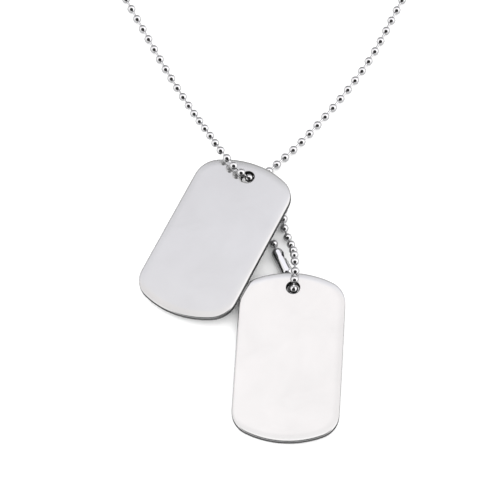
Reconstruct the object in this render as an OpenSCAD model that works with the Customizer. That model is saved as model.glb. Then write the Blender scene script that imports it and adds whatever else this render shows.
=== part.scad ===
// Two blank identification tags on their ball chains, laid on a flat surface.
// Millimetres, +Z up, the surface at z = 0, the origin at the middle of the footprint.

/* [Tags] */
// Length of a tag
tag_length = 50; // [46:0.5:54]
// Width of a tag
tag_width = 28.5; // [26:0.5:31]
// Thickness of a tag
tag_thickness = 1.8; // [1.4:0.1:2.2]
// Radius of the wide arc at each end
end_radius = 24.5; // [21:0.5:30]
// Radius of the four corners
corner_radius = 7; // [5:0.5:9]
// Polished bevel round both faces
edge_bevel = 0.35; // [0.2:0.05:0.5]
// Diameter of the chain hole
hole_diameter = 3.6; // [3.4:0.1:4.2]
// Distance from the top edge to the middle of the hole
hole_inset = 4.6; // [4.2:0.1:6]
// Bevel round both mouths of the hole
hole_bevel = 0.2; // [0.1:0.05:0.3]

/* [Ball chain] */
// Diameter of a ball
ball_diameter = 2.4; // [2.2:0.05:2.45]
// Wall of the hollow ball
ball_wall = 0.3; // [0.2:0.05:0.35]
// Diameter of the pin between two balls
pin_diameter = 0.6; // [0.4:0.05:0.65]
// Diameter of the pin's head, held inside the next ball
head_diameter = 1.1; // [1:0.05:1.2]
// Free space round the pin where it enters a ball
pin_clearance = 0.15; // [0.1:0.01:0.18]

/* [Connectors] */
// Length of a connector
connector_length = 9.5; // [9:0.25:10.5]
// Sheet thickness of a connector
connector_wall = 0.25; // [0.2:0.01:0.3]
// How far the sides stand out beyond the flat top and bottom
connector_bulge = 0.08; // [0.05:0.01:0.15]
// Free space round a ball in its connector
ball_clearance = 0.12; // [0.1:0.01:0.15]
// Width of the slit that the pin slides along
slit_width = 0.9; // [0.85:0.05:1.1]
// Turn of the slit from the top towards the right side
slit_turn = 70; // [60:5:90]
// Width of the open mouth at each end of a connector
mouth_diameter = 1.4; // [1.3:0.1:1.6]
// Distance from the middle to the hole that a ball enters by
entry_offset = 1.5; // [1:0.1:1.8]

/* [Layout] */
// Turn of the upper tag on the surface, clockwise
upper_turn = 26; // [24:0.5:28]
// Rise of the upper tag towards its hole
upper_pitch = 4.1; // [3.8:0.1:4.6]
// Rise of the upper tag towards its right side
upper_roll = 7.4; // [7:0.1:8]
// Turn of the lower tag on the surface, clockwise
lower_turn = 3.5; // [2:0.5:5]
// Rise of the lower tag towards its right side
lower_roll = 0.8; // [0:0.1:1.2]
// Turn of the short connector on the surface, anticlockwise
connector_turn = 23.5; // [21:0.5:26]
// Gap between pieces that rest on each other
rest_gap = 0.12; // [0.1:0.01:0.2]

/* [Hidden] */
$fn = 48;

// Outline of a tag: an arc at each end, four corner arcs and two straight sides
end_centre = tag_length / 2 - end_radius;
corner_u = tag_width / 2 - corner_radius;
corner_v = end_centre + sqrt((end_radius - corner_radius) ^ 2 - corner_u ^ 2);
meet_angle = atan2(corner_v - end_centre, corner_u);
hole_v = tag_length / 2 - hole_inset;

// Heights of what lies on the surface
lie = ball_diameter / 2;
over = lie + ball_diameter + rest_gap;
connector_half = ball_diameter / 2 + ball_clearance + connector_wall;
connector_reach = connector_half + connector_bulge;
seat_offset = connector_length / 2 - connector_reach;

// Turning a tag: a pose is x, y, z of its middle, then its turn, pitch and roll
function turn_x(a) = [[1, 0, 0], [0, cos(a), -sin(a)], [0, sin(a), cos(a)]];
function turn_y(a) = [[cos(a), 0, sin(a)], [0, 1, 0], [-sin(a), 0, cos(a)]];
function turn_z(a) = [[cos(a), -sin(a), 0], [sin(a), cos(a), 0], [0, 0, 1]];
function turned(pose) = turn_z(-pose[3]) * turn_x(pose[4]) * turn_y(-pose[5]);
function on_tag(pose, p) = [pose.x, pose.y, pose.z] + turned(pose) * p;

// Height of the plane that lies h above a tag's middle, over the point x, y
function height_at(pose, h, x, y) =
    let (m = turned(pose), up = [m[0][2], m[1][2], m[2][2]], o = on_tag(pose, [0, 0, h]))
    o.z - ((x - o.x) * up.x + (y - o.y) * up.y) / up.z;

// Distance from a tag's middle to its outline's tangent that faces the angle a
function reach(a) =
    abs(sin(a)) > sin(meet_angle)
    ? end_radius + end_centre * abs(sin(a))
    : corner_radius + corner_u * abs(cos(a)) + corner_v * abs(sin(a));

// How far a turned tag reaches below its middle
function depth(pose) =
    let (m = turned(pose), fall = [m[2][0], m[2][1]])
    (reach(atan2(fall.y, fall.x)) - edge_bevel) * norm(fall) + m[2][2] * tag_thickness / 2;

// A tag is placed by its hole, so that the chains stay in their holes
function hung(hole, turn, pitch, roll) =
    let (m = turned([0, 0, 0, turn, pitch, roll]), arm = m * [0, hole_v, 0])
    [hole.x - arm.x, hole.y - arm.y, 0, turn, pitch, roll];
function raised(pose, z) = [pose.x, pose.y, z, pose[3], pose[4], pose[5]];

// Places of balls just above and just below a tag
function above(pose, x, y) = [x, y, height_at(pose, tag_thickness / 2 + lie + rest_gap, x, y)];
function below(pose, x, y) = [x, y, height_at(pose, -tag_thickness / 2 - lie - rest_gap, x, y)];

// The lower tag's foot is on the surface, and its head on the balls that run under it
lower_hole = [12.93, -15.85];
lower_pitch = asin((ball_diameter + 2 * rest_gap) / (hole_v + tag_length / 2 + ball_diameter));
lower_flat = hung(lower_hole, lower_turn, lower_pitch, lower_roll);
lower_pose = raised(lower_flat, depth(lower_flat));

// The upper tag lies on the surface, on the lower tag's corner and on two crossed chains
upper_hole = [0.87, 17.81];
crossing = [5, 20.3];
corner_angle = 15;
upper_flat = hung(upper_hole, upper_turn, upper_pitch, upper_roll);
corner = on_tag(lower_pose, [
    -corner_u - (corner_radius - edge_bevel) * cos(corner_angle),
    corner_v + (corner_radius - edge_bevel) * sin(corner_angle),
    tag_thickness / 2]);
upper_pose = raised(upper_flat, max(
    depth(upper_flat),
    corner.z + rest_gap - height_at(upper_flat, -tag_thickness / 2, corner.x, corner.y),
    over - below(upper_flat, crossing.x, crossing.y).z));

// A connector's pose is x, y, z of its middle and its turn from the Y axis, anticlockwise
short_pose = [10.1, -6.6, connector_half, connector_turn];
long_pose = [4.5, 259.5, connector_half, 90];
function seat(pose, end) = [pose.x, pose.y, pose.z] + turn_z(pose[3]) * [0, end * seat_offset, 0];

// Places of single balls where a chain runs through a hole or crosses another
upper_knot = [
    on_tag(upper_pose, [0.3, hole_v + 0.1, 0.4]),
    [2.6, 18.9, lie + 1.6],
    [4.6, 21, lie + 0.1],
    [6.6, 23, lie]];
crossing_knot = [
    [-0.6, 21.2, lie + 1.4],
    below(upper_pose, 2.1, 21.3),
    [crossing.x, crossing.y, over],
    [7.3, 18.6, over - 0.6],
    [9.2, 16.2, lie + 0.8],
    [10.3, 13.3, lie + 0.1],
    [10.5, 10.5, lie],
    [10.5, 7.6, lie],
    [10.7, 4.6, lie],
    [11.6, 1.5, lie + 0.3],
    [12.5, -1.2, lie + 1],
    [13.1, -3.6, lie + 2],
    [13.35, -5.8, lie + 3.3],
    [13.45, -8.4, lie + 4.3],
    above(lower_pose, 13.5, -11.7),
    above(lower_pose, 13.3, -14.25),
    on_tag(lower_pose, [0.15, hole_v - 0.3, 0.6]),
    [12.85, -15.3, lie + 0.1],
    [12.2, -12.3, lie],
    seat(short_pose, -1)];

// Route of a chain elsewhere, a row a point: x, y, height of the balls' middles, gap between balls
function row(p, gap) = [p.x, p.y, p.z, gap];
left_far = [
    row(seat(long_pose, 1), 1.2),
    [-26, 255.5, lie, 1.2],
    [-50, 240, lie, 1.2],
    [-65, 212, lie, 1.2],
    [-67, 178, lie, 1.2],
    [-60, 143, lie, 1.4],
    [-47.5, 110, lie, 1.5],
    [-33.9, 80.9, lie, 1.5]];
left_near = [
    [-33.9, 80.9, lie, 1.5],
    [-22.1, 56.4, lie + 0.15, 1.5],
    [-15.2, 42.3, lie + 2.2, 1.4],
    [-10, 31.8, 6.6, 1.1],
    [-5, 22.7, 8.5, 0.8],
    [-0.95, 18.4, 7.6, 0.5],
    row(upper_knot[0], 0.5)];
right_near = [
    row(upper_knot[len(upper_knot) - 1], 0.6),
    [13.2, 29.8, lie, 1],
    [22.1, 40.7, lie, 1.2],
    [34.5, 59.1, lie, 1.4],
    [44.7, 80.6, lie, 1.5]];
right_far = [
    [44.7, 80.6, lie, 1.5],
    [57.5, 110, lie, 1.5],
    [69, 143, lie, 1.4],
    [76, 178, lie, 1.2],
    [74, 212, lie, 1.2],
    [59, 240, lie, 1.2],
    [35, 255.5, lie, 1.2],
    row(seat(long_pose, -1), 1.2)];
short_hidden = [
    row(seat(short_pose, 1), 1.2),
    [7.1, 0.6, lie, 1],
    [3.8, 2, lie, 0.9],
    [0.5, -0.6, lie, 0.9],
    [-3.5, -4, lie, 0.9],
    [-8.2, -3.4, lie, 0.9],
    [-11, 1.6, lie, 0.9],
    [-10.4, 9, lie, 0.9],
    [-6.2, 17, lie + 0.2, 0.9],
    row(crossing_knot[0], 0.9)];

// A smooth curve through the rows, then balls along it at the rows' gaps
steps = 8;
function place(r) = [r.x, r.y, r.z];
function span(rows, i) = norm(place(rows[i + 1]) - place(rows[i]));
function rate(rows, i) = (rows[i + 1] - rows[i]) / span(rows, i);
function heading(rows, i) =
    i == 0 ? rate(rows, 0)
    : i == len(rows) - 1 ? rate(rows, i - 1)
    : (rate(rows, i - 1) * span(rows, i) + rate(rows, i) * span(rows, i - 1))
        / (span(rows, i - 1) + span(rows, i));
function between(rows, i, t) =
    rows[i] * (1 - t) ^ 2 * (1 + 2 * t)
    + rows[i + 1] * t ^ 2 * (3 - 2 * t)
    + heading(rows, i) * span(rows, i) * t * (1 - t) ^ 2
    - heading(rows, i + 1) * span(rows, i) * t ^ 2 * (1 - t);
function curve(rows) = [
    for (i = [0 : len(rows) - 2], s = [0 : steps - 1]) between(rows, i, s / steps),
    rows[len(rows) - 1]];
function pace(points, i) =
    norm(place(points[i]) - place(points[i - 1])) / (ball_diameter + points[i][3]);
function counts(points) = [
    for (i = 0, c = 0; i < len(points); i = i + 1, c = i < len(points) ? c + pace(points, i) : c) c];
function balls(rows) =
    let (
        points = curve(rows),
        c = counts(points),
        whole = c[len(c) - 1],
        last = round(whole),
        tables = [for (axis = [0 : 2]) [for (j = [0 : len(c) - 1]) [c[j], points[j][axis]]]])
    [for (k = [0 : last])
        let (at = k * whole / last)
        [lookup(at, tables[0]), lookup(at, tables[1]), max(lie, lookup(at, tables[2]))]];
function joined(head, tail) = [each head, for (i = [1 : len(tail) - 1]) tail[i]];
long_left = joined(balls(left_far), balls(left_near));
long_right = joined(balls(right_near), balls(right_far));
long_balls = joined(joined(long_left, upper_knot), long_right);
short_balls = joined(balls(short_hidden), crossing_knot);

// The middle of the footprint, which goes to the origin
low_x = min([for (p = long_balls) p.x]) - lie;
high_x = max([for (p = long_balls) p.x]) + lie;
low_y = lower_pose.y - reach(90 - lower_turn) * cos(lower_pitch);
high_y = long_pose.y + connector_reach;
middle = [(low_x + high_x) / 2, (low_y + high_y) / 2];

module laid() {
    translate([-middle.x, -middle.y, 0]) children();
}

module towards(v) {
    rotate([0, acos(v.z / norm(v)), atan2(v.y, v.x)]) children();
}

// Half of a bevelled section, from its middle out to its rim; a taller one carries its bevels on
module half_section(out, taller = 0) {
    half = tag_thickness / 2;
    polygon([
        [0, -half - taller],
        [out - edge_bevel - taller, -half - taller],
        [out, edge_bevel - half],
        [out, half - edge_bevel],
        [out - edge_bevel - taller, half + taller],
        [0, half + taller]]);
}

// What an arc of the outline cuts off: a wedge that spreads half_angle each way, less a bevelled disc
module outside(radius, half_angle) {
    difference() {
        linear_extrude(2 * tag_thickness, center = true) polygon([
            [0, 0],
            for (side = [-1, 1]) tag_length * [cos(half_angle), side * sin(half_angle)]]);
        rotate_extrude() half_section(radius, tag_thickness);
    }
}

// A bevelled bar, a little longer than the tag, whose ends and corners are cut to their arcs
module blank() {
    spare = 1;
    overlap_angle = 5;
    difference() {
        for (side = [0, 1]) mirror([side, 0, 0])
            translate([0, tag_length / 2 + spare, 0]) rotate([90, 0, 0])
                linear_extrude(tag_length + 2 * spare) half_section(tag_width / 2);
        for (turn = [0, 180]) rotate(turn) {
            translate([0, end_centre, 0]) rotate(90)
                outside(end_radius, 90 - meet_angle + overlap_angle);
            for (side = [0, 1]) mirror([side, 0, 0])
                translate([corner_u, corner_v, 0]) rotate(meet_angle / 2)
                    outside(corner_radius, meet_angle / 2);
        }
    }
}

module chain_hole() {
    translate([0, hole_v, 0]) {
        cylinder(d = hole_diameter, h = 2 * tag_thickness, center = true);
        for (face = [0, 1]) mirror([0, 0, face])
            translate([0, 0, tag_thickness / 2 - hole_bevel])
                cylinder(d1 = hole_diameter, d2 = hole_diameter + 4 * hole_bevel, h = 2 * hole_bevel);
    }
}

module tag(pose) {
    translate([pose.x, pose.y, pose.z])
        rotate(-pose[3]) rotate([pose[4], 0, 0]) rotate([0, -pose[5], 0])
            difference() {
                blank();
                chain_hole();
            }
}

// A link is a drilled hollow ball with the pin whose head the next ball holds
module ball(drilled) {
    difference() {
        sphere(d = ball_diameter);
        if (drilled) {
            sphere(d = ball_diameter - 2 * ball_wall);
            cylinder(d = pin_diameter + 2 * pin_clearance, h = ball_diameter);
        }
    }
}

module pin(length) {
    root = (ball_diameter - ball_wall) / 2;
    translate([0, 0, root]) cylinder(d = pin_diameter, h = length - root);
    translate([0, 0, length]) sphere(d = head_diameter);
}

module ball_chain(points) {
    last = len(points) - 1;
    for (i = [0 : last]) translate(points[i]) {
        if (i == 0) ball(false);
        else towards(points[i - 1] - points[i]) ball(true);
        if (i < last) towards(points[i + 1] - points[i]) pin(norm(points[i + 1] - points[i]));
    }
}

module capsule(radius) {
    rotate([90, 0, 0]) cylinder(r = radius, h = 2 * seat_offset, center = true);
    for (end = [-1, 1]) translate([0, end * seat_offset, 0]) sphere(r = radius);
}

// A connector is a folded sheet capsule with a slit, a hole to enter by and two open ends
module connector(pose) {
    room = connector_half - connector_wall;
    translate([pose.x, pose.y, pose.z]) rotate(pose[3]) difference() {
        intersection() {
            capsule(connector_reach);
            cube([connector_length, 2 * connector_length, 2 * connector_half], center = true);
        }
        capsule(room);
        rotate([0, slit_turn, 0]) {
            translate([-slit_width / 2, -connector_length, 0])
                cube([slit_width, 2 * connector_length, connector_length]);
            translate([0, entry_offset, 0]) cylinder(r = room, h = connector_length);
        }
        rotate([90, 0, 0]) cylinder(d = mouth_diameter, h = 2 * connector_length, center = true);
    }
}

module upper_tag() {
    color("silver") laid() tag(upper_pose);
}

module lower_tag() {
    color("gainsboro") laid() tag(lower_pose);
}

module long_chain() {
    color("lightgray") laid() ball_chain(long_balls);
}

module short_chain() {
    color("lightgray") laid() ball_chain(short_balls);
}

module long_connector() {
    color("silver") laid() connector(long_pose);
}

module short_connector() {
    color("silver") laid() connector(short_pose);
}

upper_tag();
lower_tag();
long_chain();
short_chain();
long_connector();
short_connector();
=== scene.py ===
"""Two blank identification tags on their ball chains, lying on a pale surface."""

import math

import bpy
import numpy as np
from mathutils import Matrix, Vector
from mathutils.geometry import tessellate_polygon


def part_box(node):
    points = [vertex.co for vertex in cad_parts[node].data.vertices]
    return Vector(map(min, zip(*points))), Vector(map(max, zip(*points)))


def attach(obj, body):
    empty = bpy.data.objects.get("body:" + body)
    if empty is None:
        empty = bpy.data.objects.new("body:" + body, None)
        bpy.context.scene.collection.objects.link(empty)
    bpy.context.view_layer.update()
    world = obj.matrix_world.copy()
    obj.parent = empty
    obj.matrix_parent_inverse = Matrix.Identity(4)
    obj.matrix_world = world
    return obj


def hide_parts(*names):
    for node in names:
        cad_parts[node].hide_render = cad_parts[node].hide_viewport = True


bl_info = {
    "name": "Identification Tags on Ball Chains",
    "version": (1, 0, 0),
    "blender": (4, 5, 0),
    "location": "3D View > Sidebar > Tags",
    "description": "Makes the tags and chains, plates the connectors and sets up a pale studio",
    "category": "Object",
}

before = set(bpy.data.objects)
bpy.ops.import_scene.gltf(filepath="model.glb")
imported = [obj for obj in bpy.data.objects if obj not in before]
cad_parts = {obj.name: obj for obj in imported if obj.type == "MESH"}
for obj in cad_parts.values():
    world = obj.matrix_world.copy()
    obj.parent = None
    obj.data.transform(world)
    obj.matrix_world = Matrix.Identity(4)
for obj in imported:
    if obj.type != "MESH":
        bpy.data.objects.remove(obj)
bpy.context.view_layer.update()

TAGS = ("upper_tag", "lower_tag")
CHAINS = ("long_chain", "short_chain")
# Sides of the chain hole in a tag
HOLE_SIDES = 40
# Flat strip that keeps the shading of a tag's face apart from its edges
FLAT_MARGIN = 0.00004
# Turn of each connector's length from the Y axis, anticlockwise
CONNECTORS = {"long_connector": math.radians(90), "short_connector": math.radians(23.5)}
# Tone of the tent in the metal, by the part of a direction that points to the far side
FAR_SIDE = (
    (0.0, (0.9, 0.89, 0.89)), (0.1, (0.84, 0.83, 0.83)), (0.2, (0.73, 0.715, 0.715)),
    (0.42, (0.708, 0.683, 0.686)), (0.47, (0.69, 0.68, 0.7)), (0.5, (0.662, 0.655, 0.69)),
    (0.54, (0.59, 0.585, 0.615)), (0.6, (0.5, 0.497, 0.52)), (0.66, (0.42, 0.418, 0.43)),
    (0.7, (0.32, 0.32, 0.325)), (0.8, (0.2, 0.2, 0.2)), (1.0, (0.12, 0.12, 0.12)))
# Middle of the brightest part of the tent, and the angles from it at which it is full and gone
BRIGHT_SPOT = (-0.09, 0.42, 0.903)
SPOT_REACH = (0.0, math.radians(9))
# Tone inside the dark gap, and the angle over which it fades in on either side of its edge
GAP_TONE = 0.02
GAP_FADE = math.radians(4)
# Upward and rightward parts of a direction over which the low and the left tone fade out
LOW_BAND = (0.0, 0.7)
LEFT_BAND = (-0.5, 0.0)
# Height of the fine lines on the metals
LINE_HEIGHT = 0.00002
# Point on the floor that the camera looks at
CAMERA_TARGET = (-0.0045, -0.1, 0.0)


class TagShape(bpy.types.PropertyGroup):
    """Shape and finish of the tags; length, width and thickness come from the CAD pieces."""

    end_radius: bpy.props.FloatProperty(
        name="End Radius", description="Radius of the wide arc at each end",
        subtype="DISTANCE", unit="LENGTH", min=0.021, max=0.03, default=0.0245)
    corner_radius: bpy.props.FloatProperty(
        name="Corner Radius", description="Radius of the four corners",
        subtype="DISTANCE", unit="LENGTH", min=0.005, max=0.009, default=0.007)
    soft_width: bpy.props.FloatProperty(
        name="Soft Edge Width", description="Width of the band that tumbling has rounded off on both faces",
        subtype="DISTANCE", unit="LENGTH", min=0.001, max=0.0022, default=0.0022)
    soft_angle: bpy.props.FloatProperty(
        name="Soft Edge Fall", description="Slope that the soft band has reached at the tight edge",
        subtype="ANGLE", unit="ROTATION", min=0.02, max=0.25, default=math.radians(7.5))
    side_share: bpy.props.FloatProperty(
        name="Side Share", description="Slope of the soft band along the straight sides, against the ends",
        subtype="FACTOR", min=0.0, max=1.0, default=0.3)
    edge_radius: bpy.props.FloatProperty(
        name="Edge Radius", description="Radius of the tight edge between face and wall",
        subtype="DISTANCE", unit="LENGTH", min=0.0002, max=0.0006, default=0.00035)
    hole_diameter: bpy.props.FloatProperty(
        name="Hole Diameter", description="Diameter of the chain hole",
        subtype="DISTANCE", unit="LENGTH", min=0.0034, max=0.0042, default=0.0036)
    hole_inset: bpy.props.FloatProperty(
        name="Hole Inset", description="Distance from the end to the middle of the hole",
        subtype="DISTANCE", unit="LENGTH", min=0.0042, max=0.006, default=0.0046)
    hole_lip: bpy.props.FloatProperty(
        name="Hole Lip", description="Radius of the hole's rounded lips",
        subtype="DISTANCE", unit="LENGTH", min=0.0001, max=0.0003, default=0.0002)
    steel: bpy.props.FloatVectorProperty(
        name="Steel", description="Colour of the polished faces",
        subtype="COLOR", size=3, min=0.0, max=1.0, default=(0.57, 0.57, 0.57))
    haze: bpy.props.FloatProperty(
        name="Haze", description="Share of the light that fine scratches scatter to all sides",
        subtype="FACTOR", min=0.0, max=0.5, default=0.12)
    polish: bpy.props.FloatProperty(
        name="Face Roughness", description="Roughness of the faces where nothing has touched them",
        subtype="FACTOR", min=0.02, max=0.6, default=0.06)
    # The cut walls and the hole's inside are near black: partly a duller cut, mostly painted shade and
    # painted dark reflection
    wall: bpy.props.FloatVectorProperty(
        name="Cut Wall", description="Colour of the cut walls and of the inside of the hole",
        subtype="COLOR", size=3, min=0.0, max=1.0, default=(0.05, 0.05, 0.05))
    wall_polish: bpy.props.FloatProperty(
        name="Wall Roughness", description="Roughness of the cut walls",
        subtype="FACTOR", min=0.02, max=0.6, default=0.3)
    cloud_size: bpy.props.FloatProperty(
        name="Cloud Size", description="Size of the faint clouds that handling leaves on the faces",
        subtype="DISTANCE", unit="LENGTH", min=0.002, max=0.05, default=0.012)
    cloud_depth: bpy.props.FloatProperty(
        name="Cloud Depth", description="How much the clouds roughen and darken the faces",
        subtype="FACTOR", min=0.0, max=1.0, default=0.4)
    grain_size: bpy.props.FloatProperty(
        name="Grain Size", description="Width of the fine lines that polishing leaves",
        subtype="DISTANCE", unit="LENGTH", min=0.00005, max=0.002, default=0.00018)
    grain_depth: bpy.props.FloatProperty(
        name="Grain Depth", description="Strength of the fine lines",
        subtype="FACTOR", min=0.0, max=1.0, default=0.04)


class ChainShape(bpy.types.PropertyGroup):
    """Sizes and finish of the ball chains and connectors."""

    ball_diameter: bpy.props.FloatProperty(
        name="Ball Diameter", description="Diameter of a ball",
        subtype="DISTANCE", unit="LENGTH", min=0.0022, max=0.0025, default=0.0024)
    pin_diameter: bpy.props.FloatProperty(
        name="Pin Diameter", description="Diameter of the pin between two balls",
        subtype="DISTANCE", unit="LENGTH", min=0.0004, max=0.0007, default=0.0006)
    sides: bpy.props.IntProperty(
        name="Sides", description="Sides of a ball round its pins", min=8, max=16, default=12)
    rings: bpy.props.IntProperty(
        name="Rings", description="Rings of a ball from pin to pin", min=6, max=10, default=8)
    dimple: bpy.props.FloatProperty(
        name="Dimple", description="How far out a ball's pinholes lie, against its radius",
        subtype="FACTOR", min=0.5, max=1.0, default=0.7)
    sheet_room: bpy.props.FloatProperty(
        name="Connector Room", description="Radius of the hollow inside a connector",
        subtype="DISTANCE", unit="LENGTH", min=0.0012, max=0.0015, default=0.00135)
    sheet_reach: bpy.props.FloatProperty(
        name="Connector Reach",
        description="Distance from the middle of a connector to the middles of its round ends",
        subtype="DISTANCE", unit="LENGTH", min=0.002, max=0.004, default=0.0031)
    plating: bpy.props.FloatVectorProperty(
        name="Plating", description="Colour of the plated balls and connectors",
        subtype="COLOR", size=3, min=0.0, max=1.0, default=(0.7, 0.7, 0.71))
    polish: bpy.props.FloatProperty(
        name="Roughness", description="Roughness of the plating",
        subtype="FACTOR", min=0.02, max=0.6, default=0.06)
    # Dark tone inside a connector's hollow: painted shade
    unplated: bpy.props.FloatVectorProperty(
        name="Unplated Inside", description="Colour of the dull inside of a connector",
        subtype="COLOR", size=3, min=0.0, max=1.0, default=(0.12, 0.12, 0.12))


class StudioSetup(bpy.types.PropertyGroup):
    """Floor, light and camera."""

    floor_tone: bpy.props.FloatVectorProperty(
        name="Floor", description="Colour of the floor",
        subtype="COLOR", size=3, min=0.0, max=1.0, default=(0.92, 0.92, 0.92))
    mirrored_floor: bpy.props.FloatProperty(
        name="Mirrored Floor", description="How bright the floor is where the metal mirrors it",
        subtype="FACTOR", min=0.0, max=1.0, default=0.52)
    tent_strength: bpy.props.FloatProperty(
        name="Tent Light", description="Strength of the light from the white tent all round",
        min=0.0, max=5.0, default=2.0)
    floor_light: bpy.props.FloatProperty(
        name="Floor Light", description="Share of the tent's strength that lights the floor",
        subtype="FACTOR", min=0.0, max=1.0, default=0.95)
    side_light: bpy.props.FloatProperty(
        name="Side Light", description="Tone of the tent low down, against higher up",
        subtype="FACTOR", min=0.0, max=1.0, default=0.9)
    left_light: bpy.props.FloatProperty(
        name="Left Light", description="Tone of the tent at the left, against the middle and the right",
        subtype="FACTOR", min=0.0, max=1.0, default=0.8)
    spot_light: bpy.props.FloatProperty(
        name="Spot Light", description="How much brighter the brightest part of the tent is",
        min=0.0, max=1.0, default=0.14)
    gap_height: bpy.props.FloatProperty(
        name="Gap Elevation", description="Angle above the floor of the middle of the tent's dark gap",
        subtype="ANGLE", unit="ROTATION", min=0.0, max=1.57, default=math.radians(40))
    gap_reach: bpy.props.FloatProperty(
        name="Gap Reach", description="Angle from the middle of the dark gap to its edge",
        subtype="ANGLE", unit="ROTATION", min=0.0, max=1.57, default=math.radians(48))
    camera_distance: bpy.props.FloatProperty(
        name="Camera Distance", description="Distance from the camera to the point it looks at",
        subtype="DISTANCE", unit="LENGTH", min=0.3, max=3.0, default=0.9)
    camera_height: bpy.props.FloatProperty(
        name="Camera Elevation", description="Angle of the camera above the floor",
        subtype="ANGLE", unit="ROTATION", min=0.1, max=1.57, default=math.radians(59.1))
    lens: bpy.props.FloatProperty(
        name="Lens", description="Focal length of the camera",
        subtype="DISTANCE_CAMERA", unit="CAMERA", min=20.0, max=400.0, default=242.7)


def new_socket(tree, name, kind, way, default=None, subtype=None):
    """Adds a named socket to a node group."""
    socket = tree.interface.new_socket(name=name, in_out=way, socket_type=kind)
    if subtype:
        socket.subtype = subtype
    if default is not None:
        socket.default_value = default
    return socket


def add(tree, kind, x, y, **settings):
    """Adds a node at a place in its tree, with its settings."""
    node = tree.nodes.new(kind)
    node.location = (x, y)
    for key, value in settings.items():
        setattr(node, key, value)
    return node


def feed(tree, socket, value):
    """Links a socket to an input, or sets the input to a number or a colour."""
    if isinstance(value, bpy.types.NodeSocket):
        tree.links.new(value, socket)
    else:
        socket.default_value = value


def math_node(tree, x, y, operation, *values, clamp=False):
    """Adds a Math node whose inputs are sockets or numbers, and returns its output."""
    node = add(tree, "ShaderNodeMath", x, y, operation=operation, use_clamp=clamp)
    for socket, value in zip(node.inputs, values):
        feed(tree, socket, value)
    return node.outputs[0]


def remap(tree, x, y, value, low, high, to_low=0.0, to_high=1.0):
    """Adds a smooth Map Range node and returns its output."""
    node = add(tree, "ShaderNodeMapRange", x, y, interpolation_type="SMOOTHSTEP")
    feed(tree, node.inputs["Value"], value)
    for name, number in (("From Min", low), ("From Max", high), ("To Min", to_low), ("To Max", to_high)):
        node.inputs[name].default_value = number
    return node.outputs["Result"]


def handling_clouds():
    """Node group: soft clouds and fine lines that handling and polishing leave on metal."""
    tree = bpy.data.node_groups.new("handling_clouds", "ShaderNodeTree")
    new_socket(tree, "Vector", "NodeSocketVector", "INPUT")
    new_socket(tree, "Cloud Size", "NodeSocketFloat", "INPUT", 0.012)
    new_socket(tree, "Cloud Depth", "NodeSocketFloat", "INPUT", 0.25)
    new_socket(tree, "Grain Size", "NodeSocketFloat", "INPUT", 0.0002)
    new_socket(tree, "Roughness", "NodeSocketFloat", "INPUT", 0.1)
    new_socket(tree, "Tone", "NodeSocketColor", "INPUT", (1.0, 1.0, 1.0, 1.0))
    new_socket(tree, "Color", "NodeSocketColor", "OUTPUT")
    new_socket(tree, "Roughness", "NodeSocketFloat", "OUTPUT")
    new_socket(tree, "Height", "NodeSocketFloat", "OUTPUT")
    link = tree.links.new
    given = add(tree, "NodeGroupInput", -1000, 0)
    result = add(tree, "NodeGroupOutput", 700, 0)
    # Shares of a cloud's depth by which it roughens and darkens the metal
    roughening = 0.5
    darkening = 0.35
    least_roughness = 0.02
    # The fine lines run along Y
    line_scale = (1.0, 0.08, 1.0)

    clouds = add(tree, "ShaderNodeTexNoise", -600, 150)
    clouds.inputs["Detail"].default_value = 5.0
    clouds.inputs["Roughness"].default_value = 0.55
    clouds.inputs["Distortion"].default_value = 0.6
    link(given.outputs["Vector"], clouds.inputs["Vector"])
    link(math_node(tree, -800, 150, "DIVIDE", 1.0, given.outputs["Cloud Size"]), clouds.inputs["Scale"])

    along = add(tree, "ShaderNodeMapping", -800, -300)
    along.inputs["Scale"].default_value = line_scale
    grain = add(tree, "ShaderNodeTexNoise", -600, -250)
    grain.inputs["Detail"].default_value = 2.0
    link(given.outputs["Vector"], along.inputs["Vector"])
    link(along.outputs["Vector"], grain.inputs["Vector"])
    link(math_node(tree, -800, -120, "DIVIDE", 1.0, given.outputs["Grain Size"]), grain.inputs["Scale"])

    centred = math_node(tree, -380, 150, "SUBTRACT", clouds.outputs["Fac"], 0.5)
    depth = math_node(tree, -200, 150, "MULTIPLY", centred, given.outputs["Cloud Depth"])
    rougher = math_node(tree, 0, 0, "MULTIPLY_ADD", depth, roughening, given.outputs["Roughness"])
    link(math_node(tree, 200, 0, "MAXIMUM", rougher, least_roughness), result.inputs["Roughness"])

    tone = math_node(tree, 0, 250, "MULTIPLY_ADD", depth, -darkening, 1.0)
    shade = add(tree, "ShaderNodeMix", 250, 250, data_type="RGBA", blend_type="MULTIPLY")
    shade.inputs["Factor"].default_value = 1.0
    link(given.outputs["Tone"], shade.inputs["A"])
    link(tone, shade.inputs["B"])
    link(shade.outputs["Result"], result.inputs["Color"])
    link(grain.outputs["Fac"], result.inputs["Height"])
    return tree


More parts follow.
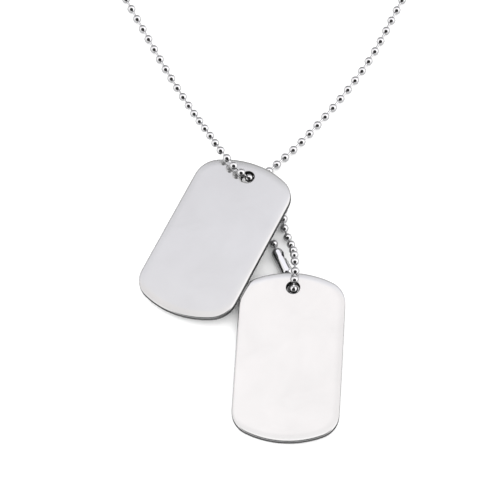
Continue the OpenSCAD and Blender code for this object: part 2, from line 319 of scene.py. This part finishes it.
def painted_shade_where():
    """Node group: turns a finish into another, darker and duller one where a mask says so; it carries painted
    shade.
    """
    tree = bpy.data.node_groups.new("painted_shade_where", "ShaderNodeTree")
    new_socket(tree, "Mask", "NodeSocketFloat", "INPUT", 0.0)
    new_socket(tree, "Color", "NodeSocketColor", "INPUT", (1.0, 1.0, 1.0, 1.0))
    new_socket(tree, "Roughness", "NodeSocketFloat", "INPUT", 0.1)
    new_socket(tree, "Dull Color", "NodeSocketColor", "INPUT", (0.2, 0.2, 0.2, 1.0))
    new_socket(tree, "Dull Roughness", "NodeSocketFloat", "INPUT", 0.4)
    new_socket(tree, "Color", "NodeSocketColor", "OUTPUT")
    new_socket(tree, "Roughness", "NodeSocketFloat", "OUTPUT")
    link = tree.links.new
    given = add(tree, "NodeGroupInput", -400, 0)
    result = add(tree, "NodeGroupOutput", 200, 0)
    for y, kind, name in ((150, "RGBA", "Color"), (-150, "FLOAT", "Roughness")):
        mix = add(tree, "ShaderNodeMix", -100, y, data_type=kind)
        ends = [socket for socket in mix.inputs if socket.enabled]
        link(given.outputs["Mask"], ends[0])
        link(given.outputs[name], ends[1])
        link(given.outputs["Dull " + name], ends[2])
        link([socket for socket in mix.outputs if socket.enabled][0], result.inputs[name])
    return tree


def inside_sheet():
    """Node group: a mask of the inside of a capsule that lies along Y."""
    tree = bpy.data.node_groups.new("inside_sheet", "ShaderNodeTree")
    new_socket(tree, "Vector", "NodeSocketVector", "INPUT")
    new_socket(tree, "Reach", "NodeSocketFloat", "INPUT", 0.003)
    new_socket(tree, "Radius", "NodeSocketFloat", "INPUT", 0.0013)
    new_socket(tree, "Mask", "NodeSocketFloat", "OUTPUT")
    link = tree.links.new
    given = add(tree, "NodeGroupInput", -1000, 0)
    result = add(tree, "NodeGroupOutput", 400, 0)
    parts = add(tree, "ShaderNodeSeparateXYZ", -800, 0)
    link(given.outputs["Vector"], parts.inputs["Vector"])
    past = math_node(tree, -600, -100, "SUBTRACT",
                     math_node(tree, -700, -200, "ABSOLUTE", parts.outputs["Y"]), given.outputs["Reach"])
    centre = add(tree, "ShaderNodeCombineXYZ", -300, 0)
    link(parts.outputs["X"], centre.inputs["X"])
    link(math_node(tree, -450, -100, "MAXIMUM", past, 0.0), centre.inputs["Y"])
    link(parts.outputs["Z"], centre.inputs["Z"])
    out = add(tree, "ShaderNodeVectorMath", -100, 0, operation="LENGTH")
    link(centre.outputs["Vector"], out.inputs[0])
    link(math_node(tree, 100, 0, "LESS_THAN", out.outputs["Value"], given.outputs["Radius"]),
         result.inputs["Mask"])
    return tree


def shared(maker):
    """The node group that a function makes, made once."""
    return bpy.data.node_groups.get(maker.__name__) or maker()


def place_group(tree, x, y, maker, values):
    """Places a shared node group in a tree and feeds its inputs."""
    node = add(tree, "ShaderNodeGroup", x, y, node_tree=shared(maker))
    for name, value in values.items():
        feed(tree, node.inputs[name], value)
    return node.outputs


def metal(name, vector, clouds, grain_depth, shaded=None, grazing=1.0, haze=0.0):
    """Material: clouded metal with fine lines, and a darker, duller finish of painted shade where a mask says
    so.

    Grazing is how bright it mirrors at a glancing angle, and haze the share of light that it scatters.
    """
    material = bpy.data.materials.new(name)
    material.use_nodes = True
    tree = material.node_tree
    shader = tree.nodes["Principled BSDF"]
    shader.inputs["Metallic"].default_value = 1.0 - haze
    shader.inputs["Specular Tint"].default_value = (grazing, grazing, grazing, 1.0)
    place = vector(tree)
    worn = place_group(tree, -700, 200, handling_clouds, {"Vector": place, **clouds})
    finish = worn
    if shaded:
        mask, tone, roughness = shaded(tree, place)
        finish = place_group(tree, -400, 200, painted_shade_where, {
            "Mask": mask, "Color": worn["Color"], "Roughness": worn["Roughness"],
            "Dull Color": tone, "Dull Roughness": roughness})
    bump = add(tree, "ShaderNodeBump", -250, -100)
    bump.inputs["Strength"].default_value = grain_depth
    bump.inputs["Distance"].default_value = LINE_HEIGHT
    tree.links.new(worn["Height"], bump.inputs["Height"])
    tree.links.new(finish["Color"], shader.inputs["Base Color"])
    tree.links.new(finish["Roughness"], shader.inputs["Roughness"])
    tree.links.new(bump.outputs["Normal"], shader.inputs["Normal"])
    return material


def attribute(name, output):
    """A function that reads an attribute of the mesh in a material."""
    return lambda tree: add(
        tree, "ShaderNodeAttribute", -1000, 0, attribute_type="GEOMETRY", attribute_name=name).outputs[output]


def object_place(middle=(0.0, 0.0, 0.0), turn=0.0):
    """A function that reads Object coordinates in a material, from a middle and a turn about Z."""
    def read(tree):
        place = add(tree, "ShaderNodeTexCoord", -1200, 0)
        own = add(tree, "ShaderNodeMapping", -1000, 0, vector_type="TEXTURE")
        own.inputs["Location"].default_value = middle
        own.inputs["Rotation"].default_value = (0.0, 0.0, turn)
        tree.links.new(place.outputs["Object"], own.inputs["Vector"])
        return own.outputs["Vector"]
    return read


def cad_triangles(node):
    """Reads the corners of a CAD piece's triangles."""
    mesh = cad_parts[node].data
    mesh.calc_loop_triangles()
    points = np.empty(len(mesh.vertices) * 3)
    mesh.vertices.foreach_get("co", points)
    faces = np.empty(len(mesh.loop_triangles) * 3, dtype=np.int64)
    mesh.loop_triangles.foreach_get("vertices", faces)
    return points.reshape(-1, 3)[faces].reshape(-1, 3, 3)


def new_piece(name, mesh, node):
    """Puts a mesh in the scene in place of a CAD piece."""
    piece = bpy.data.objects.new(name, mesh)
    bpy.context.scene.collection.objects.link(piece)
    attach(piece, "root")
    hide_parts(node)
    return piece


def tag_axes(node):
    """Finds how a CAD tag lies: its middle, its axes and its size.

    The axes run across, towards the hole and out of the front.
    """
    corners = cad_triangles(node)
    normals = np.cross(corners[:, 1] - corners[:, 0], corners[:, 2] - corners[:, 0])
    areas = np.linalg.norm(normals, axis=1)
    largest = normals[areas.argmax()] / areas.max()
    least_cosine = 0.9999
    front = normals @ (largest * np.sign(largest[2])) > least_cosine * areas
    face, weights = corners[front], areas[front]
    centroid = np.average(face.mean(axis=1), axis=0, weights=weights)
    # A multiple of the front face's second moment, from its triangles' corners and middles
    arms = face - centroid
    spread = np.einsum("n,nci,ncj->ij", weights, arms, arms)
    spread += 9 * np.einsum("n,ni,nj->ij", weights, arms.mean(axis=1), arms.mean(axis=1))
    axes = np.linalg.eigh(spread)[1]
    up = axes[:, 0] * np.sign(axes[2, 0])
    along = axes[:, 2]
    reach = corners.reshape(-1, 3) @ along
    if reach.max() + reach.min() < 2 * centroid @ along:
        along = -along
    axes = np.array([np.cross(along, up), along, up])
    spans = corners.reshape(-1, 3) @ axes.T
    low, high = spans.min(axis=0), spans.max(axis=0)
    return (low + high) / 2 @ axes, axes, high - low


def outline(size, look, inset):
    """Points round a tag, moved in by an inset: four corner arcs and two wide end arcs."""
    end_middle = size[1] / 2 - look.end_radius
    corner_x = size[0] / 2 - look.corner_radius
    corner_y = end_middle + math.sqrt((look.end_radius - look.corner_radius) ** 2 - corner_x ** 2)
    meet = math.atan2(corner_y - end_middle, corner_x)
    arcs = (
        (corner_x, corner_y, look.corner_radius, np.linspace(0, meet, 11)),
        (0, end_middle, look.end_radius, np.linspace(meet, math.pi / 2, 9)[1:]))
    quarter = np.array([
        (x + (radius - inset) * math.cos(angle), y + (radius - inset) * math.sin(angle))
        for x, y, radius, angles in arcs for angle in angles])
    half = np.concatenate([quarter, quarter[-2::-1] * (-1, 1)])
    return np.concatenate([half, -half])


def hole_ring(size, look, radius):
    """Points round the chain hole."""
    angles = np.linspace(0, 2 * math.pi, HOLE_SIDES, endpoint=False)
    return np.c_[radius * np.cos(angles), size[1] / 2 - look.hole_inset + radius * np.sin(angles)]


def rounded(radius, start, steps, paint_from, paint_share):
    """Rows of inset, fall and share of painted wall shade over a rounded edge, from a slope to upright."""
    # Angle over which the painted wall shade fades in
    paint_over = 0.4
    return [(radius * (1 - math.sin(angle)), radius * (math.cos(start) - math.cos(angle)),
             paint_share * min(1.0, max(0.0, (angle - paint_from) / paint_over)))
            for angle in np.linspace(start, math.pi / 2, steps)]


def edge_rows(look):
    """Rows of inset, soft fall, tight fall and share of painted wall shade from the flat of a face to its
    wall.
    """
    tight = rounded(look.edge_radius, look.soft_angle, steps=8, paint_from=1.0, paint_share=0.7)
    wide = (look.soft_width - tight[0][0]) / math.sin(look.soft_angle)
    drop = wide * (1 - math.cos(look.soft_angle))
    soft = [(tight[0][0] + wide * (math.sin(look.soft_angle) - math.sin(angle)), wide * (1 - math.cos(angle)))
            for angle in np.linspace(0, look.soft_angle, 7)[:-1]]
    return ([(look.soft_width + FLAT_MARGIN, 0.0, 0.0, 0.0)]
            + [(inset, fall, 0.0, 0.0) for inset, fall in soft]
            + [(inset, drop, fall, share) for inset, fall, share in tight])


def lip_rows(look):
    """Rows of outset, soft fall, tight fall and share of painted wall shade from the flat of a face into the
    hole.
    """
    lip = rounded(look.hole_lip, 0.0, steps=6, paint_from=0.0, paint_share=1.0)
    return ([(look.hole_lip + FLAT_MARGIN, 0.0, 0.0, 0.0)]
            + [(outset, 0.0, fall, share) for outset, fall, share in lip])


def strip(first, second, count):
    """Faces between two rings of points, by the numbers of their first points."""
    return [(first + i, second + i, second + (i + 1) % count, first + (i + 1) % count) for i in range(count)]


def tag_mesh(node, look):
    """Makes a tag with softly rounded edges where its CAD piece lies."""
    middle, axes, size = tag_axes(node)
    outwards = (outline(size, look, 0.0) - outline(size, look, look.edge_radius)) / look.edge_radius
    steepness = look.side_share + (1 - look.side_share) * outwards[:, 1] ** 2
    rings, painted_shares, faces = [], [], []

    def add_rings(rows, ring, slopes, flipped):
        """Adds rings from the front round to the back, and returns the first points of the outer two."""
        count = len(slopes)
        first = sum(len(points) for points in rings)
        for sign, half_rows in ((1, rows), (-1, rows[::-1])):
            for inset, soft, tight, share in half_rows:
                rings.append(np.c_[ring(inset), sign * (size[2] / 2 - soft * slopes - tight)])
                painted_shares.extend([share] * count)
        starts = [first + row * count for row in range(2 * len(rows))]
        for start, after in zip(starts, starts[1:]):
            faces.extend(strip(after, start, count) if flipped else strip(start, after, count))
        return starts[0], starts[-1]

    rim_front, rim_back = add_rings(
        edge_rows(look), lambda inset: outline(size, look, inset), steepness, False)
    hole_front, hole_back = add_rings(
        lip_rows(look), lambda out: hole_ring(size, look, look.hole_diameter / 2 + out),
        np.ones(HOLE_SIDES), True)
    points = np.concatenate(rings)

    rim_sides = len(steepness)
    loops = [points[rim_front:rim_front + rim_sides], points[hole_front:hole_front + HOLE_SIDES]]

    def numbered(triangle, rim, hole):
        """Turns the numbers of two joined loops into numbers of points."""
        return tuple(n + (rim if n < rim_sides else hole - rim_sides) for n in triangle)

    for triangle in tessellate_polygon([[Vector(point) for point in loop] for loop in loops]):
        a, b, c = points[list(numbered(triangle, rim_front, hole_front))]
        if np.cross(b - a, c - a)[2] < 0:
            triangle = triangle[::-1]
        faces.append(numbered(triangle, rim_front, hole_front))
        faces.append(numbered(triangle[::-1], rim_back, hole_back))

    mesh = bpy.data.meshes.new(node + "_polished")
    mesh.from_pydata((points @ axes + middle).tolist(), [], faces)
    mesh.shade_smooth()
    mesh.attributes.new("tag_place", "FLOAT_VECTOR", "POINT").data.foreach_set("vector", points.ravel())
    # Share of painted shade on the walls and in the hole, point by point
    mesh.attributes.new("painted_wall_share", "FLOAT", "POINT").data.foreach_set("value", painted_shares)
    return mesh


def loose_parts(count, faces):
    """Groups the points of a triangle mesh that touch, and returns the groups."""
    label = np.arange(count)
    while True:
        lowest = label[faces].min(axis=1)
        fresh = label.copy()
        np.minimum.at(fresh, faces.ravel(), np.repeat(lowest, 3))
        fresh = fresh[fresh]
        if (fresh == label).all():
            break
        label = fresh
    return [np.flatnonzero(label == value) for value in np.unique(label)]


def ball_middle(points, corners, radius):
    """Finds the middle of the ball in one link, from the sphere that most of its points lie on."""
    tries = 60
    # Only facets near the mean size give a guess, and their middles lie a little inside the sphere
    least_size = 0.2
    facet_depth = 0.99
    near = 0.05 * radius
    across = np.cross(corners[:, 1] - corners[:, 0], corners[:, 2] - corners[:, 0])
    size = np.linalg.norm(across, axis=1)
    keep = np.flatnonzero(size > size.mean() * least_size)
    keep = keep[::max(1, len(keep) // tries)]
    guesses = corners[keep].mean(axis=1) - across[keep] / size[keep, None] * radius * facet_depth
    off = np.abs(np.linalg.norm(points[None] - guesses[:, None], axis=2) - radius)
    best = off[np.argmax((off < near).sum(axis=1))]
    shell = points[best < near]
    table = np.c_[2 * shell, np.ones(len(shell))]
    return np.linalg.lstsq(table, (shell ** 2).sum(axis=1), rcond=None)[0][:3]


def chain_balls(node, radius):
    """Reads the middles of a chain's balls from its CAD piece, in order from end to end.

    The link after another is the one in whose ball the other's pin has its head.
    """
    head_reach = 0.52 * radius
    corners = cad_triangles(node)
    points, faces = np.unique(corners.reshape(-1, 3).round(7), axis=0, return_inverse=True)
    faces = faces.reshape(-1, 3)
    groups = loose_parts(len(points), faces)
    owner = np.empty(len(points), dtype=np.int64)
    for index, group in enumerate(groups):
        owner[group] = index
    face_owner = owner[faces[:, 0]]
    middles = np.array([
        ball_middle(points[group], points[faces[face_owner == index]], radius)
        for index, group in enumerate(groups)])
    after = {}
    for index, group in enumerate(groups):
        apart = np.linalg.norm(points[group][None] - middles[:, None], axis=2)
        held = (apart < head_reach).sum(axis=1)
        held[index] = 0
        if held.max() > 0:
            after[index] = int(held.argmax())
    first = (set(range(len(groups))) - set(after.values())).pop()
    order = [first]
    while order[-1] in after:
        order.append(after[order[-1]])
    if len(order) != len(groups):
        raise RuntimeError(f"{node}: {len(order)} of {len(groups)} links follow each other")
    return middles[order]


def chain_tree():
    """Geometry Nodes: a dimpled ball at every point of a path, and the pins between them."""
    tree = bpy.data.node_groups.new("ball_chain", "GeometryNodeTree")
    new_socket(tree, "Geometry", "NodeSocketGeometry", "INPUT")
    new_socket(tree, "Ball Radius", "NodeSocketFloat", "INPUT", 0.0012, "DISTANCE")
    new_socket(tree, "Pin Radius", "NodeSocketFloat", "INPUT", 0.0003, "DISTANCE")
    new_socket(tree, "Sides", "NodeSocketInt", "INPUT", 12)
    new_socket(tree, "Rings", "NodeSocketInt", "INPUT", 8)
    new_socket(tree, "Dimple", "NodeSocketFloat", "INPUT", 0.7)
    new_socket(tree, "Metal", "NodeSocketMaterial", "INPUT")
    new_socket(tree, "Geometry", "NodeSocketGeometry", "OUTPUT")
    link = tree.links.new
    given = add(tree, "NodeGroupInput", -1100, 0)
    result = add(tree, "NodeGroupOutput", 900, 0)
    # Distances from a ball's axis, against its radius: within the first lies a pole, which sinks,
    # and beyond the second the faces are smooth
    pole_reach = 0.1
    smooth_from = 0.4
    pin_sides = 8

    path = add(tree, "GeometryNodeMeshToCurve", -800, 300)
    link(given.outputs["Geometry"], path.inputs["Mesh"])
    beads = add(tree, "GeometryNodeCurveToPoints", -550, 400, mode="EVALUATED")
    link(path.outputs["Curve"], beads.inputs["Curve"])

    ball = add(tree, "GeometryNodeMeshUVSphere", -800, -50)
    link(given.outputs["Sides"], ball.inputs["Segments"])
    link(given.outputs["Rings"], ball.inputs["Rings"])
    link(given.outputs["Ball Radius"], ball.inputs["Radius"])

    here = add(tree, "GeometryNodeInputPosition", -1100, -350)
    flat = add(tree, "ShaderNodeVectorMath", -900, -350, operation="MULTIPLY")
    flat.inputs[1].default_value = (1.0, 1.0, 0.0)
    link(here.outputs["Position"], flat.inputs[0])
    out = add(tree, "ShaderNodeVectorMath", -720, -350, operation="LENGTH")
    link(flat.outputs["Vector"], out.inputs[0])
    share = math_node(tree, -550, -350, "DIVIDE", out.outputs["Value"], given.outputs["Ball Radius"])
    pole = add(tree, "FunctionNodeCompare", -380, -300, operation="LESS_THAN")
    pole.inputs["B"].default_value = pole_reach
    link(share, pole.inputs["A"])
    sunk = add(tree, "ShaderNodeVectorMath", -720, -550, operation="SCALE")
    link(here.outputs["Position"], sunk.inputs[0])
    link(given.outputs["Dimple"], sunk.inputs["Scale"])
    dimple = add(tree, "GeometryNodeSetPosition", -180, -50)
    link(ball.outputs["Mesh"], dimple.inputs["Geometry"])
    link(pole.outputs["Result"], dimple.inputs["Selection"])
    link(sunk.outputs["Vector"], dimple.inputs["Position"])
    outer = add(tree, "FunctionNodeCompare", -380, -500, operation="GREATER_THAN")
    outer.inputs["B"].default_value = smooth_from
    link(share, outer.inputs["A"])
    round_ball = add(tree, "GeometryNodeSetShadeSmooth", 20, -50, domain="FACE")
    link(dimple.outputs["Geometry"], round_ball.inputs["Geometry"])
    link(outer.outputs["Result"], round_ball.inputs["Shade Smooth"])

    placed = add(tree, "GeometryNodeInstanceOnPoints", 220, 300)
    link(beads.outputs["Points"], placed.inputs["Points"])
    link(beads.outputs["Rotation"], placed.inputs["Rotation"])
    link(round_ball.outputs["Geometry"], placed.inputs["Instance"])

    section = add(tree, "GeometryNodeCurvePrimitiveCircle", -550, 120)
    section.inputs["Resolution"].default_value = pin_sides
    link(given.outputs["Pin Radius"], section.inputs["Radius"])
    pins = add(tree, "GeometryNodeCurveToMesh", -180, 180)
    pins.inputs["Fill Caps"].default_value = True
    link(path.outputs["Curve"], pins.inputs["Curve"])
    link(section.outputs["Curve"], pins.inputs["Profile Curve"])
    round_pins = add(tree, "GeometryNodeSetShadeSmooth", 20, 180, domain="FACE")
    link(pins.outputs["Mesh"], round_pins.inputs["Geometry"])

    both = add(tree, "GeometryNodeJoinGeometry", 420, 100)
    link(placed.outputs["Instances"], both.inputs["Geometry"])
    link(round_pins.outputs["Geometry"], both.inputs["Geometry"])
    real = add(tree, "GeometryNodeRealizeInstances", 580, 100)
    link(both.outputs["Geometry"], real.inputs["Geometry"])
    coat = add(tree, "GeometryNodeSetMaterial", 740, 100)
    link(real.outputs["Geometry"], coat.inputs["Geometry"])
    link(given.outputs["Metal"], coat.inputs["Material"])
    link(coat.outputs["Geometry"], result.inputs["Geometry"])
    return tree


def grown(name, points, tree, values):
    """Runs a Geometry Nodes tree along a path of points and returns the result as a plain mesh."""
    path = bpy.data.meshes.new(name + "_path")
    path.from_pydata([tuple(p) for p in points], [(i, i + 1) for i in range(len(points) - 1)], [])
    holder = bpy.data.objects.new(name + "_path", path)
    bpy.context.scene.collection.objects.link(holder)
    modifier = holder.modifiers.new("nodes", "NODES")
    modifier.node_group = tree
    for item in tree.interface.items_tree:
        if item.item_type == "SOCKET" and item.in_out == "INPUT" and item.name in values:
            modifier[item.identifier] = values[item.name]
    ready = holder.evaluated_get(bpy.context.evaluated_depsgraph_get())
    mesh = bpy.data.meshes.new_from_object(ready)
    mesh.name = name
    holder.modifiers.remove(modifier)
    bpy.data.objects.remove(holder)
    bpy.data.meshes.remove(path)
    return mesh


def wear(tone, roughness, cloud_size, cloud_depth, grain_size=0.0001):
    """Values for the handling clouds of one metal."""
    return {"Tone": (*tone, 1.0), "Roughness": roughness, "Cloud Size": cloud_size,
            "Cloud Depth": cloud_depth, "Grain Size": grain_size}


class TAGS_OT_build_tags(bpy.types.Operator):
    """Make both tags where their CAD pieces lie"""

    bl_idname = "tags.build_tags"
    bl_label = "Build Tags"

    def execute(self, context):
        look = context.scene.tag_shape

        # Painted shade on the cut walls and inside the hole
        def walls(tree, place):
            return attribute("painted_wall_share", "Fac")(tree), (*look.wall, 1.0), look.wall_polish

        steel = metal(
            "polished_steel", attribute("tag_place", "Vector"),
            wear(look.steel, look.polish, look.cloud_size, look.cloud_depth, look.grain_size),
            look.grain_depth, walls, grazing=0.08, haze=look.haze)
        for node in TAGS:
            mesh = tag_mesh(node, look)
            mesh.materials.append(steel)
            new_piece(node + "_polished", mesh, node)
        return {"FINISHED"}


class TAGS_OT_build_chains(bpy.types.Operator):
    """Make the ball chains along their CAD pieces"""

    bl_idname = "tags.build_chains"
    bl_label = "Build Chains"

    def execute(self, context):
        look = context.scene.chain_shape
        plating = metal(
            "plated_balls", object_place(),
            wear(look.plating, look.polish, cloud_size=0.0015, cloud_depth=0.08), grain_depth=0.02)
        tree = shared(chain_tree)
        values = {
            "Ball Radius": look.ball_diameter / 2,
            "Pin Radius": look.pin_diameter / 2,
            "Sides": look.sides,
            "Rings": look.rings,
            "Dimple": look.dimple,
            "Metal": plating,
        }
        for node in CHAINS:
            middles = chain_balls(node, look.ball_diameter / 2)
            name = node + "_balls"
            new_piece(name, grown(name, middles, tree, values), node)
        return {"FINISHED"}


class TAGS_OT_finish_connectors(bpy.types.Operator):
    """Plate both connectors and paint shade inside their hollows"""

    bl_idname = "tags.finish_connectors"
    bl_label = "Finish Connectors"

    def execute(self, context):
        look = context.scene.chain_shape
        inside_roughness = 0.5

        # Painted shade inside each connector's hollow
        def inside(tree, place):
            mask = place_group(tree, -700, -200, inside_sheet, {
                "Vector": place, "Reach": look.sheet_reach, "Radius": look.sheet_room})
            return mask["Mask"], (*look.unplated, 1.0), inside_roughness

        for node, turn in CONNECTORS.items():
            low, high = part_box(node)
            plating = metal(
                "plated_" + node, object_place((low + high) / 2, turn),
                wear(look.plating, look.polish + 0.02, cloud_size=0.003, cloud_depth=0.15),
                grain_depth=0.03, shaded=inside)
            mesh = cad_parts[node].data
            mesh.materials.clear()
            mesh.materials.append(plating)
        return {"FINISHED"}


def tent_light(world, look):
    """World: a white tent, darker at its far side and its left, with a dark gap for the camera."""
    world.use_nodes = True
    tree = world.node_tree
    tree.nodes.clear()
    link = tree.links.new
    place = add(tree, "ShaderNodeTexCoord", -1300, 0)
    parts = add(tree, "ShaderNodeSeparateXYZ", -1100, 0)
    link(place.outputs["Generated"], parts.inputs["Vector"])

    far = add(tree, "ShaderNodeValToRGB", -900, 350)
    stops = far.color_ramp.elements
    while len(stops) > 1:
        stops.remove(stops[0])
    for number, (share, tone) in enumerate(FAR_SIDE):
        stop = stops[0] if number == 0 else stops.new(share)
        stop.position = share
        stop.color = (*tone, 1.0)
    link(parts.outputs["Y"], far.inputs["Fac"])
    tent = add(tree, "ShaderNodeMix", -550, 200, data_type="RGBA", blend_type="MULTIPLY")
    tent.inputs["Factor"].default_value = 1.0
    link(far.outputs["Color"], tent.inputs["A"])
    low = remap(tree, -900, 50, parts.outputs["Z"], *LOW_BAND, look.side_light, 1.0)
    left = remap(tree, -900, -100, parts.outputs["X"], *LEFT_BAND, look.left_light, 1.0)
    link(math_node(tree, -720, 0, "MULTIPLY", low, left), tent.inputs["B"])

    def round_patch(y, middle, inner, outer, within, beyond):
        """Goes from one value within an angle from a middle direction to another beyond it."""
        towards = add(tree, "ShaderNodeVectorMath", -900, y, operation="DOT_PRODUCT")
        link(place.outputs["Generated"], towards.inputs[0])
        towards.inputs[1].default_value = Vector(middle).normalized()
        return remap(tree, -700, y, towards.outputs["Value"],
                     math.cos(outer), math.cos(inner), beyond, within)

    bright = add(tree, "ShaderNodeVectorMath", -350, 200, operation="SCALE")
    link(tent.outputs["Result"], bright.inputs[0])
    link(round_patch(-200, BRIGHT_SPOT, *SPOT_REACH, 1.0 + look.spot_light, 1.0), bright.inputs["Scale"])
    gap = round_patch(-400, (0.0, -math.cos(look.gap_height), math.sin(look.gap_height)),
                      look.gap_reach - GAP_FADE, look.gap_reach + GAP_FADE, GAP_TONE, 1.0)
    dark = add(tree, "ShaderNodeVectorMath", -150, 0, operation="SCALE")
    link(bright.outputs["Vector"], dark.inputs[0])
    link(gap, dark.inputs["Scale"])

    kind = add(tree, "ShaderNodeLightPath", -350, 350)
    lit = add(tree, "ShaderNodeMix", -100, 250, data_type="RGBA")
    link(kind.outputs["Is Camera Ray"], lit.inputs["Factor"])
    lit.inputs["A"].default_value = (look.floor_light, look.floor_light, look.floor_light, 1.0)
    lit.inputs["B"].default_value = (1.0, 1.0, 1.0, 1.0)
    mirrored = add(tree, "ShaderNodeMix", 100, 100, data_type="RGBA")
    link(kind.outputs["Is Glossy Ray"], mirrored.inputs["Factor"])
    link(lit.outputs["Result"], mirrored.inputs["A"])
    link(dark.outputs["Vector"], mirrored.inputs["B"])
    sky = add(tree, "ShaderNodeBackground", 300, 100)
    sky.inputs["Strength"].default_value = look.tent_strength
    link(mirrored.outputs["Result"], sky.inputs["Color"])
    output = add(tree, "ShaderNodeOutputWorld", 500, 100)
    link(sky.outputs["Background"], output.inputs["Surface"])


class TAGS_OT_set_stage(bpy.types.Operator):
    """Lay the floor and place the light and the camera"""

    bl_idname = "tags.set_stage"
    bl_label = "Set Stage"

    def execute(self, context):
        look = context.scene.studio_setup
        scene = context.scene
        scene.view_settings.view_transform = "Standard"

        half = 1.5
        corners = [(-half, -half, 0), (half, -half, 0), (half, half, 0), (-half, half, 0)]
        mesh = bpy.data.meshes.new("floor")
        mesh.from_pydata(corners, [], [(0, 1, 2, 3)])
        floor = bpy.data.objects.new("floor", mesh)
        scene.collection.objects.link(floor)
        paper = bpy.data.materials.new("pale_floor")
        paper.use_nodes = True
        shader = paper.node_tree.nodes["Principled BSDF"]
        kind = add(paper.node_tree, "ShaderNodeLightPath", -600, 200)
        tone = add(paper.node_tree, "ShaderNodeMix", -300, 200, data_type="RGBA")
        feed(paper.node_tree, tone.inputs["Factor"], kind.outputs["Is Glossy Ray"])
        tone.inputs["A"].default_value = (*look.floor_tone, 1.0)
        tone.inputs["B"].default_value = (*(look.mirrored_floor * Vector(look.floor_tone)), 1.0)
        feed(paper.node_tree, shader.inputs["Base Color"], tone.outputs["Result"])
        shader.inputs["Roughness"].default_value = 1.0
        shader.inputs["Specular IOR Level"].default_value = 0.0
        mesh.materials.append(paper)

        scene.world = scene.world or bpy.data.worlds.new("studio")
        tent_light(scene.world, look)

        lens = bpy.data.cameras.new("camera")
        lens.sensor_width = 36.0
        lens.lens = look.lens
        lens.clip_start = 0.01
        camera = bpy.data.objects.new("camera", lens)
        reach = look.camera_distance
        camera.location = Vector(CAMERA_TARGET) + Vector(
            (0.0, -reach * math.cos(look.camera_height), reach * math.sin(look.camera_height)))
        camera.rotation_euler = (math.pi / 2 - look.camera_height, 0.0, 0.0)
        scene.collection.objects.link(camera)
        scene.camera = camera
        return {"FINISHED"}


class TAGS_PT_panel(bpy.types.Panel):
    """Lists the pieces and their settings."""

    bl_idname = "TAGS_PT_panel"
    bl_label = "Identification Tags"
    bl_space_type = "VIEW_3D"
    bl_region_type = "UI"
    bl_category = "Tags"

    def draw(self, context):
        scene = context.scene
        groups = (
            (scene.tag_shape, (TAGS_OT_build_tags,)),
            (scene.chain_shape, (TAGS_OT_build_chains, TAGS_OT_finish_connectors)),
            (scene.studio_setup, (TAGS_OT_set_stage,)),
        )
        for settings, operators in groups:
            box = self.layout.box()
            for name in settings.__annotations__:
                box.prop(settings, name)
            for operator in operators:
                box.operator(operator.bl_idname)


CLASSES = (TagShape, ChainShape, StudioSetup, TAGS_OT_build_tags, TAGS_OT_build_chains,
           TAGS_OT_finish_connectors, TAGS_OT_set_stage, TAGS_PT_panel)
SETTINGS = {"tag_shape": TagShape, "chain_shape": ChainShape, "studio_setup": StudioSetup}


def register():
    for item in CLASSES:
        bpy.utils.register_class(item)
    for name, group in SETTINGS.items():
        setattr(bpy.types.Scene, name, bpy.props.PointerProperty(type=group))


def unregister():
    for name in SETTINGS:
        delattr(bpy.types.Scene, name)
    for item in reversed(CLASSES):
        bpy.utils.unregister_class(item)


def main():
    register()
    bpy.ops.tags.build_tags()
    bpy.ops.tags.build_chains()
    bpy.ops.tags.finish_connectors()
    bpy.ops.tags.set_stage()


if __name__ == "__main__":
    main()
